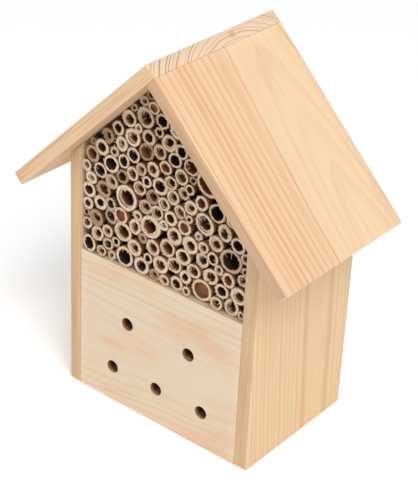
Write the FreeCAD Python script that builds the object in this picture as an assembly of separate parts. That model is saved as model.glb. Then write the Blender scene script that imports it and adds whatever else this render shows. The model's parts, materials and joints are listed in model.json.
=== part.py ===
import FreeCAD, Part
# Insect hotel: a small gabled house of pine boards, open at the front above a solid panel.
# Cut reeds fill the open part. Five drilled holes lead through the panel into an empty chamber.
# Millimetres. +Z is up and the front faces -Y. The origin is under the middle of the whole house,
# on the surface that it stands on. One STEP file is written for each node.
import math
import os
import random

from FreeCAD import Vector

# ---------------------------------------------------------------- driving dimensions

# House
body_width = 150.0          # over the two walls
wall_depth = 100.0          # front edge to rear edge
wall_height = 168.0         # outer face, up to the roof board
wall_thickness = 10.0
panel_height = 104.0        # solid front, and the level that the reeds lie on
panel_thickness = 10.0
floor_thickness = 10.0
shelf_thickness = 10.0
back_thickness = 8.0
back_inset = 2.2            # back panel and hanger stay clear of what the house hangs on
arris_round = 0.8           # sanded edges of every board

# Roof
roof_pitch_deg = 45.0
roof_slope = 142.0          # underside, from the ridge line to the eave
roof_thickness = 9.0
front_overhang = 17.0
rear_overhang = 0.0

# Drilled entrances to the lower chamber
entrance_diameter = 9.0
upper_entrance_height = 64.0
upper_entrance_pitch = 50.0
lower_entrance_height = 26.0
lower_entrance_pitch = 37.0

# Glued dowels
dowel_diameter = 5.0
thin_dowel_diameter = 4.0   # in the back panel
dowel_glue_gap = 0.1        # on the radius
dowel_end_gap = 0.5
dowel_skin = 2.8            # wood left outside a blind dowel hole
dowel_grip = 15.0           # length held by the board that butts against another

# Ridge nails, through the left roof board into the end of the right one
ridge_nail_count = 4
nail_shank_radius = 0.8
nail_head_radius = 1.5
nail_head_height = 0.8
nail_length = 30.0
nail_gap = 0.05

# Keyhole hanger on the back panel
hanger_width = 46.0
hanger_height = 20.0
hanger_plate_thickness = 1.2
hanger_corner_round = 4.0
hanger_drop = 52.0          # ridge underside to the middle of the keyhole's round end
keyhole_radius = 5.0
keyhole_slot_width = 4.6
keyhole_slot_rise = 8.0
keyhole_recess_depth = 5.0
keyhole_recess_margin = 1.2
hanger_screw_pitch = 34.0
screw_shank_radius = 1.25
screw_head_radius = 2.6
screw_head_height = 0.8
screw_length = 8.0
screw_gap = 0.05

# Reeds
reed_seed = 22
reed_gap = 0.12             # least room between two reeds, or a reed and a board
reed_smallest = 5.8
reed_largest = 12.6
reed_common = 10.6
reed_wall_share_least = 0.08
reed_wall_share_most = 0.21
reed_wall_share_common = 0.115
reed_node_thickness = 3.0   # the natural partition that closes a reed at the back
reed_recess_left = 1.0       # how far the ends lie behind the front, at the left wall
reed_recess_right = 2.6      # and at the right wall
reed_recess_play = 1.0       # how far one reed stands before or behind its neighbours
thin_reed_smallest = 4.6     # thin reeds fill the last gaps
thin_reed_largest = 7.5
thin_reed_step = 0.8
reed_bundle_count = 34
reed_search_step = 0.4
reed_size_step = 0.7
large_reed_wall_share = 0.105
large_reed_early = 5.0      # a large reed goes in when the pile is this near its level

# Large reeds: share of the half opening from its middle, share of its height, and diameter
large_reeds = [
    (-0.46, 0.07, 14.4),
    (0.47, 0.05, 15.6),
    (-0.50, 0.19, 13.6),
    (0.79, 0.25, 16.0),
    (-0.15, 0.24, 15.4),
    (-0.44, 0.36, 17.2),
    (0.47, 0.40, 15.0),
    (0.50, 0.60, 17.6),
    (-0.24, 0.78, 13.8),
]

# ---------------------------------------------------------------- sizes that follow

pitch = math.radians(roof_pitch_deg)
half_width = body_width / 2.0
half_inside = half_width - wall_thickness
ridge_height = wall_height + half_width * math.tan(pitch)
roof_front = -(front_overhang + wall_depth + rear_overhang) / 2.0
roof_rear = -roof_front
wall_front = roof_front + front_overhang
wall_rear = wall_front + wall_depth
panel_rear = wall_front + panel_thickness
back_outer = wall_rear - back_inset
back_inner = back_outer - back_thickness
inside_depth = back_inner - panel_rear

x_axis = Vector(1, 0, 0)
y_axis = Vector(0, 1, 0)
z_axis = Vector(0, 0, 1)
ridge_point = Vector(0, 0, ridge_height)
down_right = Vector(math.cos(pitch), 0, -math.sin(pitch))
down_left = Vector(-math.cos(pitch), 0, -math.sin(pitch))
out_right = Vector(math.sin(pitch), 0, math.cos(pitch))
out_left = Vector(-math.sin(pitch), 0, math.cos(pitch))
ridge_lap = roof_thickness / math.sin(2.0 * pitch)


# ---------------------------------------------------------------- helpers

def at(x, y, z):
    """A point of the house."""
    return Vector(x, y, z)


def board(corners, front, rear):
    """A board with the outline corners, as (x, z) pairs, from front to rear along Y."""
    points = [Vector(x, front, z) for x, z in corners]
    outline = Part.makePolygon(points + points[:1])
    return Part.Face(outline).extrude(Vector(0, rear - front, 0))


def ease(solid, thickness, wanted):
    """Round the straight edges that wanted accepts, as sanding does."""
    edges = [edge for edge in solid.Edges if wanted(edge)]
    return solid.makeFillet(min(arris_round, thickness / 4.0), edges)


def runs_along(edge, axis):
    """True for an edge that lies along axis."""
    start, end = edge.Vertexes[0].Point, edge.Vertexes[-1].Point
    return abs((end - start).normalize().dot(axis)) > 0.999


def lies_in(edge, point, normal):
    """True for an edge with both ends in the plane through point."""
    return all(abs((vertex.Point - point).dot(normal)) < 0.001 for vertex in edge.Vertexes)


def rod(start, end, radius):
    """A round bar from start to end."""
    run = end - start
    return Part.makeCylinder(radius, run.Length, start, run)


def drilled(solid, holes):
    """The solid with every hole cut out."""
    return solid.cut(holes)


def mirrored(solid):
    """The solid on the other side of the house."""
    return solid.mirror(Vector(0, 0, 0), x_axis)


# ---------------------------------------------------------------- dowels and their holes

def dowel(start, end, radius):
    """One dowel and its hole, which is wider by the glue gap and longer at both ends."""
    spare = (end - start).normalize() * dowel_end_gap
    hole = rod(start - spare, end + spare, radius + dowel_glue_gap)
    return rod(start, end, radius), hole


def side_dowels(places, radius):
    """Dowels across the joint of a board and both walls, at (y, z) places.

    Returns the dowels and their holes.
    """
    outer = half_width - dowel_skin
    inner = half_inside - dowel_grip
    pairs = [dowel(at(inner, y, z), at(outer, y, z), radius) for y, z in places]
    pairs += [dowel(at(-inner, y, z), at(-outer, y, z), radius) for y, z in places]
    return [pair[0] for pair in pairs], [pair[1] for pair in pairs]


def gable_dowels():
    """Dowels from the roof boards into the back panel's sloping edges, and their holes."""
    edge_length = half_inside / math.cos(pitch)
    middle = (back_inner + back_outer) / 2.0
    grip = roof_thickness - dowel_skin
    pairs = []
    for down, out in ((down_right, out_right), (down_left, out_left)):
        for share in (0.3, 0.75):
            foot = ridge_point + down * (edge_length * share) + Vector(0, middle, 0)
            pairs.append(dowel(foot - out * dowel_grip, foot + out * grip, thin_dowel_diameter / 2.0))
    return [pair[0] for pair in pairs], [pair[1] for pair in pairs]


def all_dowels():
    """Every dowel group by name, as a pair of dowels and holes."""
    inside = (panel_rear + inside_depth * 0.22, panel_rear + inside_depth * 0.78)
    floor_middle = floor_thickness / 2.0
    shelf_middle = panel_height - shelf_thickness / 2.0
    panel_middle = (wall_front + panel_rear) / 2.0
    back_middle = (back_inner + back_outer) / 2.0
    panel_levels = (panel_height * 0.25, panel_height * 0.75)
    back_levels = (wall_height * 0.15, wall_height * 0.82)
    radius = dowel_diameter / 2.0
    thin = thin_dowel_diameter / 2.0
    return {
        "floor_dowels": side_dowels([(y, floor_middle) for y in inside], radius),
        "shelf_dowels": side_dowels([(y, shelf_middle) for y in inside], radius),
        "front_panel_dowels": side_dowels([(panel_middle, z) for z in panel_levels], radius),
        "back_panel_dowels": side_dowels([(back_middle, z) for z in back_levels], thin),
        "gable_dowels": gable_dowels(),
    }


# ---------------------------------------------------------------- boards

def right_wall(holes):
    """The wall on the right, with a mitred top under the roof board."""
    inner_height = wall_height + wall_thickness * math.tan(pitch)
    corners = [(half_inside, 0), (half_width, 0), (half_width, wall_height), (half_inside, inner_height)]
    wall = board(corners, wall_front, wall_rear)
    return drilled(ease(wall, wall_thickness, lambda edge: runs_along(edge, z_axis)), holes)


def left_wall(holes):
    """The wall on the left, the right one's mirror image."""
    return mirrored(right_wall([mirrored(hole) for hole in holes]))


def cross_board(low, high, front, rear):
    """A board from wall to wall."""
    corners = [(-half_inside, low), (half_inside, low), (half_inside, high), (-half_inside, high)]
    return board(corners, front, rear)


def entrance_places():
    """The (x, z) middles of the drilled entrances: two above, three below."""
    upper = [(side * upper_entrance_pitch / 2.0, upper_entrance_height) for side in (-1, 1)]
    lower = [(side * lower_entrance_pitch, lower_entrance_height) for side in (-1, 0, 1)]
    return upper + lower


def front_panel(holes):
    """The solid front, flush with the walls' front edges, with its drilled entrances."""
    panel = cross_board(0, panel_height, wall_front, panel_rear)
    face_point = at(0, wall_front, 0)
    panel = ease(panel, panel_thickness, lambda edge: lies_in(edge, face_point, y_axis))
    entrances = [
        rod(at(x, wall_front, z), at(x, panel_rear, z), entrance_diameter / 2.0)
        for x, z in entrance_places()
    ]
    return drilled(panel, entrances + holes)


def floor_board(holes):
    """The bottom of the lower chamber."""
    return drilled(cross_board(0, floor_thickness, panel_rear, back_inner), holes)


def shelf_board(holes):
    """The board that the reeds lie on, level with the top of the front panel."""
    return drilled(cross_board(panel_height - shelf_thickness, panel_height, panel_rear, back_inner), holes)


def back_panel(holes):
    """The gabled back, between the walls and under the roof boards."""
    inner_height = wall_height + wall_thickness * math.tan(pitch)
    corners = [
        (-half_inside, 0),
        (half_inside, 0),
        (half_inside, inner_height),
        (0, ridge_height),
        (-half_inside, inner_height),
    ]
    return drilled(board(corners, back_inner, back_outer), holes)


def roof_left(holes):
    """The roof board that laps over the other one's end at the ridge. Both its ends are square."""
    top = ridge_point - down_left * ridge_lap
    eave = ridge_point + down_left * roof_slope
    lift = out_left * roof_thickness
    corners = [(point.x, point.z) for point in (top, eave, eave + lift, top + lift)]
    roof = board(corners, roof_front, roof_rear)
    return drilled(ease(roof, roof_thickness, lambda edge: True), holes)


def roof_right(holes):
    """The roof board whose upper end butts against the left one's underside."""
    top = ridge_point - down_left * ridge_lap
    eave = ridge_point + down_right * roof_slope
    lift = out_right * roof_thickness
    corners = [(point.x, point.z) for point in (ridge_point, eave, eave + lift, top)]
    roof = board(corners, roof_front, roof_rear)
    roof = ease(roof, roof_thickness, lambda edge: not lies_in(edge, ridge_point, out_left))
    return drilled(roof, holes)


# ---------------------------------------------------------------- nails

def ridge_nails():
    """Nails driven square to the left roof board, and their holes.

    Each nail runs in the middle of the right board's thickness, with its head flush.
    """
    nails = []
    holes = []
    spacing = (roof_rear - roof_front) / ridge_nail_count
    outside = ridge_point - down_left * (ridge_lap / 2.0) + out_left * roof_thickness
    inward = -out_left
    for number in range(ridge_nail_count):
        head_top = outside + Vector(0, roof_front + spacing * (number + 0.5), 0)
        head_base = head_top + inward * nail_head_height
        tip = head_top + inward * nail_length
        nails.append(rod(head_top, head_base, nail_head_radius).fuse(rod(head_base, tip, nail_shank_radius)))
        head_hole = rod(head_top, head_base + inward * nail_gap, nail_head_radius + nail_gap)
        holes.append(head_hole.fuse(rod(head_base, tip + inward * nail_gap, nail_shank_radius + nail_gap)))
    return nails, holes


# ---------------------------------------------------------------- hanger

def keyhole(radius, slot_half_width, near, far):
    """A keyhole-shaped plug: a round lower end and a narrower slot that rises from it."""
    middle = ridge_height - hanger_drop
    lower = rod(at(0, near, middle), at(0, far, middle), radius)
    upper_level = middle + keyhole_slot_rise
    upper = rod(at(0, near, upper_level), at(0, far, upper_level), slot_half_width)
    sides = [
        (-slot_half_width, middle),
        (slot_half_width, middle),
        (slot_half_width, upper_level),
        (-slot_half_width, upper_level),
    ]
    return lower.fuse([upper, board(sides, near, far)]).removeSplitter()


def hanger_middle():
    """The height of the plate's middle and of its screws."""
    return ridge_height - hanger_drop + keyhole_slot_rise / 2.0


def hanger_screws():
    """Two pan-head screws through the plate into the back panel, and their holes."""
    screws = []
    holes = []
    seat = back_outer + hanger_plate_thickness
    for side in (-1, 1):
        place = at(side * hanger_screw_pitch / 2.0, 0, hanger_middle())
        head_top = place + y_axis * (seat + screw_head_height)
        tip = place + y_axis * (seat + screw_head_height - screw_length)
        head = rod(place + y_axis * seat, head_top, screw_head_radius)
        shank = rod(tip, place + y_axis * seat, screw_shank_radius)
        screws.append(head.fuse(shank))
        deep = tip - y_axis * screw_gap
        holes.append(rod(deep, place + y_axis * seat, screw_shank_radius + screw_gap))
    return screws, holes


def hanger_plate(holes):
    """A flat steel plate with a keyhole, on the back panel's outer face."""
    low = hanger_middle() - hanger_height / 2.0
    high = low + hanger_height
    half = hanger_width / 2.0
    rear = back_outer + hanger_plate_thickness
    plate = board([(-half, low), (half, low), (half, high), (-half, high)], back_outer, rear)
    corners = [edge for edge in plate.Edges if runs_along(edge, y_axis)]
    plate = plate.makeFillet(hanger_corner_round, corners)
    return drilled(plate, holes + [keyhole(keyhole_radius, keyhole_slot_width / 2.0, back_outer, rear)])


def hanger_recess():
    """The room behind the plate for the head of the screw that it hangs on."""
    radius = keyhole_radius + keyhole_recess_margin
    return keyhole(radius, radius, back_outer - keyhole_recess_depth, back_outer)


# ---------------------------------------------------------------- reeds

def rest_level(x, radius, laid):
    """The height at which a reed laid at x comes to rest on the shelf or on others."""
    level = panel_height + radius + reed_gap
    for other_x, other_z, other_radius in laid:
        reach = radius + other_radius + reed_gap
        across = abs(x - other_x)
        if across < reach:
            level = max(level, other_z + math.sqrt(reach * reach - across * across))
    return level


def fits_under_roof(x, z, radius):
    """True where a reed clears both roof boards."""
    room = (ridge_height - abs(x) * math.tan(pitch) - z) * math.cos(pitch)
    return room >= radius + reed_gap


def lowest_place(radius, laid):
    """The lowest (z, x) where one more reed rests under the roof, or None."""
    reach = half_inside - radius - reed_gap
    steps = max(1, int(2.0 * reach / reed_search_step))
    places = []
    for number in range(steps + 1):
        x = -reach + 2.0 * reach * number / steps
        z = rest_level(x, radius, laid)
        if fits_under_roof(x, z, radius):
            places.append((z, x))
    return min(places) if places else None


def room_round(x, z, reeds):
    """The largest radius that fits at (x, z) between the boards and the given reeds."""
    under_roof = (ridge_height - abs(x) * math.tan(pitch) - z) * math.cos(pitch)
    room = min(half_inside - abs(x), z - panel_height, under_roof)
    for other_x, other_z, other_radius in reeds:
        room = min(room, math.hypot(x - other_x, z - other_z) - other_radius)
    return room - reed_gap


def thin_reeds(laid):
    """Thin reeds pushed into the gaps of a laid pile, the widest gap first."""
    across = int(2.0 * half_inside / thin_reed_step)
    up = int((ridge_height - panel_height) / thin_reed_step)
    gaps = []
    for column in range(across):
        for row in range(up):
            x = -half_inside + (column + 0.5) * thin_reed_step
            z = panel_height + (row + 0.5) * thin_reed_step
            room = room_round(x, z, laid)
            if room >= thin_reed_smallest / 2.0:
                gaps.append((room, x, z))
    added = []
    for room, x, z in sorted(gaps, reverse=True):
        radius = min(room, room_round(x, z, added), thin_reed_largest / 2.0)
        if radius >= thin_reed_smallest / 2.0:
            added.append((x, z, radius))
    return added


def large_reed_place(share_across, radius, laid):
    """The (x, z) where a large reed comes to rest, kept between the walls."""
    reach = half_inside - radius - reed_gap
    x = max(-reach, min(reach, share_across * half_inside))
    return x, rest_level(x, radius, laid)


def lay_large_reeds(large, laid, next_reed):
    """Lay each large reed that is due, or that next_reed would leave no room for.

    Returns True when next_reed would have taken a large reed's room, so it has to wait.
    """
    opening_height = ridge_height - panel_height
    crowded = False
    for number, (share_across, share_up, diameter) in enumerate(large_reeds):
        radius = diameter / 2.0
        x, z = large_reed_place(share_across, radius, laid)
        if large[number] is not None or not fits_under_roof(x, z, radius):
            continue
        due = z >= panel_height + share_up * opening_height - large_reed_early
        later_x, later_z = large_reed_place(share_across, radius, laid + next_reed)
        blocked = not fits_under_roof(later_x, later_z, radius)
        if due or blocked:
            large[number] = (x, z, radius)
            laid.append(large[number])
            crowded = crowded or blocked
    return crowded


def pile_reeds():
    """Lay the reeds from the shelf upwards, each in the lowest place that is free.

    A large reed goes in where it belongs, as soon as the pile under it is high enough.
    Returns the small reeds and the large ones, each as (x, z, radius).
    """
    draw = random.Random(reed_seed)
    laid = []
    large = [None] * len(large_reeds)
    while True:
        lay_large_reeds(large, laid, [])
        radius = draw.triangular(reed_smallest, reed_largest, reed_common) / 2.0
        place = lowest_place(radius, laid)
        while place is None and radius - reed_size_step / 2.0 >= reed_smallest / 2.0:
            radius -= reed_size_step / 2.0
            place = lowest_place(radius, laid)
        if place is None:
            break
        reed = (place[1], place[0], radius)
        if not lay_large_reeds(large, laid, [reed]):
            laid.append(reed)
    laid.extend(thin_reeds(laid))
    placed_large = [reed for reed in large if reed is not None]
    return [reed for reed in laid if reed not in placed_large], large


def reed_solid(reed, wall_share, recess):
    """One reed, open at the front and closed at the back by its node."""
    x, z, radius = reed
    front = at(x, wall_front + recess, z)
    rear = at(x, back_inner - reed_gap, z)
    bore_end = rear - y_axis * reed_node_thickness
    bore = rod(front, bore_end, radius * (1.0 - 2.0 * wall_share))
    return rod(front, rear, radius).cut(bore)


def reed_recess(reed, draw):
    """How far a reed's end lies behind the front: the pile was pushed in further at the right."""
    share = (reed[0] + half_inside) / (2.0 * half_inside)
    middle = reed_recess_left + (reed_recess_right - reed_recess_left) * share
    return middle + draw.uniform(-reed_recess_play, reed_recess_play)


def reed_nodes():
    """Every reed by node: bundles of neighbouring reeds, and each large reed by itself."""
    small, large = pile_reeds()
    draw = random.Random(reed_seed + 1)
    small.sort(key=lambda reed: (reed[1], reed[0]))
    bundles = {}
    for order, reed in enumerate(small):
        wall_share = draw.triangular(reed_wall_share_least, reed_wall_share_most, reed_wall_share_common)
        name = "reed_bundle_%02d" % (1 + order * reed_bundle_count // len(small))
        bundles.setdefault(name, []).append(reed_solid(reed, wall_share, reed_recess(reed, draw)))
    for number, reed in enumerate(large):
        if reed is not None:
            name = "large_reed_%02d" % (number + 1)
            bundles[name] = [reed_solid(reed, large_reed_wall_share, reed_recess(reed, draw))]
    return bundles


# ---------------------------------------------------------------- the whole house

def build_nodes():
    """Every node's solids by name."""
    dowels = all_dowels()
    dowel_holes = [hole for group in dowels.values() for hole in group[1]]
    nails, nail_holes = ridge_nails()
    screws, screw_holes = hanger_screws()
    nodes = {
        "left_wall": [left_wall(dowel_holes)],
        "right_wall": [right_wall(dowel_holes)],
        "front_panel": [front_panel(dowel_holes)],
        "floor_board": [floor_board(dowel_holes)],
        "shelf_board": [shelf_board(dowel_holes)],
        "back_panel": [back_panel(dowel_holes + screw_holes + [hanger_recess()])],
        "roof_left": [roof_left(dowel_holes + nail_holes)],
        "roof_right": [roof_right(dowel_holes + nail_holes)],
        "ridge_nails": nails,
        "hanger_plate": [hanger_plate(screw_holes)],
        "hanger_screws": screws,
    }
    nodes.update({name: group[0] for name, group in dowels.items()})
    nodes.update(reed_nodes())
    return nodes


def write_nodes(nodes):
    """Write one STEP file for each node."""
    os.makedirs("parts", exist_ok=True)
    for name, solids in nodes.items():
        shape = solids[0] if len(solids) == 1 else Part.makeCompound(solids)
        shape.exportStep(os.path.join("parts", name + ".step"))
    print(len(nodes), "nodes,", sum(len(solids) for solids in nodes.values()), "solids")


write_nodes(build_nodes())
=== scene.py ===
import json
import logging
import math
import random
from dataclasses import dataclass, field
from enum import Enum
from typing import Callable, Iterator, Sequence

import bmesh
import bpy
from mathutils import Matrix, Vector, noise


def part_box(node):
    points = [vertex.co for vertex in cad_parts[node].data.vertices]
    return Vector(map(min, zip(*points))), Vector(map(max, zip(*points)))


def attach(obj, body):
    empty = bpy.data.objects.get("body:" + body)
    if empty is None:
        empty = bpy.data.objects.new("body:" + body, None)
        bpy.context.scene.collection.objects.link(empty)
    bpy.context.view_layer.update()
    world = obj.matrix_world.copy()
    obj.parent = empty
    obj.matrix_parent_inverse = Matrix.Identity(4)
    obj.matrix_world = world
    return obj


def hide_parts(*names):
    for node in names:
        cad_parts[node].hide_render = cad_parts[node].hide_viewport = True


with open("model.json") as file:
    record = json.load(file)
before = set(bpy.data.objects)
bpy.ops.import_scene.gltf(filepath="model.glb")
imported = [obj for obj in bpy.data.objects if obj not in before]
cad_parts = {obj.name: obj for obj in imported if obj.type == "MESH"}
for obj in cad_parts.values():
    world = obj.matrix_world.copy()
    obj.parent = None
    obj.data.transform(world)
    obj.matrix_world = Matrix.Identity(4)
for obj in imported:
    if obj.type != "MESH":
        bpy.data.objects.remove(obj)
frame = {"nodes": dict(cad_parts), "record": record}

Colour = tuple[float, float, float]
Axis = tuple[float, float, float]
Outline = list[tuple[float, float]]
Reach = Callable[[float], float]

LOG = logging.getLogger("insect_hotel")
MM = 0.001
PITCH = math.radians(45.0)
WHITE = (1.0, 1.0, 1.0)


def srgb(red: int, green: int, blue: int) -> Colour:
    """A colour chosen on screen, 0 to 255, as linear light.

    Args:
        red: the red channel.
        green: the green channel.
        blue: the blue channel.

    Returns:
        The colour for a shader.
    """
    def linear(value: int) -> float:
        """One channel as linear light."""
        share = value / 255.0
        return share / 12.92 if share <= 0.04045 else ((share + 0.055) / 1.055) ** 2.4
    return linear(red), linear(green), linear(blue)


class Way(Enum):
    """Directions that boards, fibres and faces follow."""

    RIGHT = (1.0, 0.0, 0.0)
    BACK = (0.0, 1.0, 0.0)
    UP = (0.0, 0.0, 1.0)
    DOWN_RIGHT = (math.cos(PITCH), 0.0, -math.sin(PITCH))
    DOWN_LEFT = (-math.cos(PITCH), 0.0, -math.sin(PITCH))
    OUT_RIGHT = (math.sin(PITCH), 0.0, math.cos(PITCH))
    OUT_LEFT = (-math.sin(PITCH), 0.0, math.cos(PITCH))


class Bore(Enum):
    """What shows inside a cut reed."""

    CLEAN = "clean"
    RAGGED = "ragged"
    PLUGGED = "plugged"


# ---------------------------------------------------------------- shader maths


class Field:
    """A number that varies over a surface: one socket, with the sums used on it."""

    def __init__(self, net: "Net", socket: bpy.types.NodeSocket) -> None:
        """Wrap socket, which belongs to net."""
        self.net = net
        self.socket = socket

    def _sum(self, operation: str, *values: "Field | float") -> "Field":
        """One Math node on values, in order."""
        sockets = {place: value for place, value in enumerate(values)}
        return self.net.field("ShaderNodeMath", {"operation": operation}, sockets)

    def __add__(self, other: "Field | float") -> "Field":
        """This plus other."""
        return self._sum("ADD", self, other)

    __radd__ = __add__

    def __sub__(self, other: "Field | float") -> "Field":
        """This less other."""
        return self._sum("SUBTRACT", self, other)

    def __rsub__(self, other: "Field | float") -> "Field":
        """Other less this."""
        return self._sum("SUBTRACT", other, self)

    def __mul__(self, other: "Field | float") -> "Field":
        """This times other."""
        return self._sum("MULTIPLY", self, other)

    __rmul__ = __mul__

    def __truediv__(self, other: "Field | float") -> "Field":
        """This divided by other."""
        return self._sum("DIVIDE", self, other)

    def __pow__(self, power: float) -> "Field":
        """This to a power."""
        return self._sum("POWER", self, power)

    def fraction(self) -> "Field":
        """The part after the decimal point."""
        return self._sum("FRACT", self)

    def floor(self) -> "Field":
        """The whole number below."""
        return self._sum("FLOOR", self)

    def size(self) -> "Field":
        """The value without its sign."""
        return self._sum("ABSOLUTE", self)

    def rise(self, low: float, high: float) -> "Field":
        """A smooth step from 0 at low to 1 at high."""
        settings = {"interpolation_type": "SMOOTHSTEP"}
        return self.net.field("ShaderNodeMapRange", settings, {0: self, 1: low, 2: high})


class Net:
    """One material's nodes, made from Python expressions."""

    def __init__(self, name: str) -> None:
        """Start a material with one Principled shader.

        Args:
            name: the material's name.
        """
        self.material = bpy.data.materials.new(name)
        self.material.use_nodes = True
        self.tree = self.material.node_tree
        self.tree.nodes.clear()
        self.shader = self.node("ShaderNodeBsdfPrincipled")
        output = self.node("ShaderNodeOutputMaterial")
        self.tree.links.new(self.shader.outputs[0], output.inputs[0])

    def node(self, kind: str, settings: dict | None = None,
             sockets: dict | None = None) -> bpy.types.Node:
        """Add one node.

        Args:
            kind: the node's type.
            settings: its properties, set before its sockets.
            sockets: a value, colour, Field or socket for each input, by place or name.

        Returns:
            The new node.
        """
        made = self.tree.nodes.new(kind)
        for name, value in (settings or {}).items():
            setattr(made, name, value)
        for place, value in (sockets or {}).items():
            if isinstance(value, Field):
                value = value.socket
            if isinstance(value, bpy.types.NodeSocket):
                self.tree.links.new(value, made.inputs[place])
            else:
                made.inputs[place].default_value = value
        return made

    def field(self, kind: str, settings: dict | None = None, sockets: dict | None = None,
              output: int | str = 0) -> Field:
        """Add one node and return its output as a Field."""
        return Field(self, self.node(kind, settings, sockets).outputs[output])

    def place(self) -> tuple[Field, Field, Field]:
        """The point's x, y and z in millimetres.

        Returns:
            The three values, each as a Field.
        """
        here = self.node("ShaderNodeTexCoord").outputs["Object"]
        split = self.node("ShaderNodeSeparateXYZ", None, {0: here})
        return tuple(Field(self, socket) * (1.0 / MM) for socket in split.outputs)

    def vector(self, x: "Field | float", y: "Field | float", z: "Field | float") -> bpy.types.NodeSocket:
        """Three numbers as one vector."""
        return self.node("ShaderNodeCombineXYZ", None, {0: x, 1: y, 2: z}).outputs[0]

    def noise(self, place: bpy.types.NodeSocket, detail: float = 2.0, rough: float = 0.5) -> Field:
        """Cloudy noise, mostly from 0.3 to 0.7, with features about one unit across."""
        return self.field("ShaderNodeTexNoise", None,
                          {"Vector": place, "Scale": 1.0, "Detail": detail, "Roughness": rough})

    def line_noise(self, place: Field) -> Field:
        """Noise along a line."""
        return self.field("ShaderNodeTexNoise", {"noise_dimensions": "1D"},
                          {"W": place, "Scale": 1.0, "Detail": 1.0})

    def dice(self, place: Field) -> Field:
        """A random value from 0 to 1 for each different number."""
        return self.field("ShaderNodeTexWhiteNoise", {"noise_dimensions": "1D"}, {"W": place})

    def painted(self, name: str) -> Field:
        """A value painted on the mesh."""
        return self.field("ShaderNodeAttribute", {"attribute_name": name}, None, "Fac")

    def facing(self, axis: Axis) -> Field:
        """How squarely the surface faces along axis, either way.

        Args:
            axis: a unit vector.

        Returns:
            1 where the surface faces along axis, and 0 where it runs along it.
        """
        normal = self.node("ShaderNodeNewGeometry").outputs["Normal"]
        settings = {"operation": "DOT_PRODUCT"}
        return self.field("ShaderNodeVectorMath", settings, {0: normal, 1: axis}, "Value").size()

    def blend(self, share: Field, first: "Colour | bpy.types.NodeSocket",
              second: "Colour | bpy.types.NodeSocket") -> bpy.types.NodeSocket:
        """The first colour where share is 0, and the second where it is 1.

        Args:
            share: how much of the second colour shows.
            first: the colour under it.
            second: the colour over it.

        Returns:
            The mixed colour.
        """
        ends = {place: (*value, 1.0) if isinstance(value, tuple) else value
                for place, value in ((6, first), (7, second))}
        return self.node("ShaderNodeMix", {"data_type": "RGBA"}, {0: share, **ends}).outputs[2]

    def scaled(self, colour: bpy.types.NodeSocket, amount: Field) -> bpy.types.NodeSocket:
        """A colour made lighter or darker.

        Args:
            colour: the colour.
            amount: 1 for no change.

        Returns:
            The changed colour.
        """
        sockets = {0: colour, "Scale": amount}
        return self.node("ShaderNodeVectorMath", {"operation": "SCALE"}, sockets).outputs[0]

    def finish(self, colour: bpy.types.NodeSocket, roughness: Field, height: Field | None = None,
               strength: float = 0.3, depth_mm: float = 0.2) -> bpy.types.Material:
        """Join the finished colour, roughness and relief to the shader.

        Args:
            colour: the base colour.
            roughness: from 0, polished, to 1, dull.
            height: relief from 0 to 1, or None for none.
            strength: how much of the relief shows.
            depth_mm: the relief's depth.

        Returns:
            The material.
        """
        self.tree.links.new(colour, self.shader.inputs["Base Color"])
        self.tree.links.new(roughness.socket, self.shader.inputs["Roughness"])
        if height is not None:
            sockets = {"Strength": strength, "Distance": depth_mm * MM, "Height": height}
            bump = self.node("ShaderNodeBump", None, sockets)
            self.tree.links.new(bump.outputs[0], self.shader.inputs["Normal"])
        return self.material


# ---------------------------------------------------------------- wood


@dataclass(frozen=True)
class Figure:
    """Noise stretched along a board: steps per millimetre in three directions, and how fine it is."""

    along: float
    across: float
    out: float
    detail: float = 1.0
    rough: float = 0.5


SLOW_WANDER = Figure(0.007, 0.016, 0.016)
QUICK_WANDER = Figure(0.022, 0.07, 0.07)
FIBRE = Figure(0.05, 2.2, 2.2, 3.0, 0.6)
HAIR = Figure(0.02, 1.2, 1.2, 2.0, 0.6)
CLOUD = Figure(0.014, 0.05, 0.05, 2.0, 0.6)
SAW_SCORE = Figure(0.012, 0.02, 0.75, 2.0)


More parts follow.
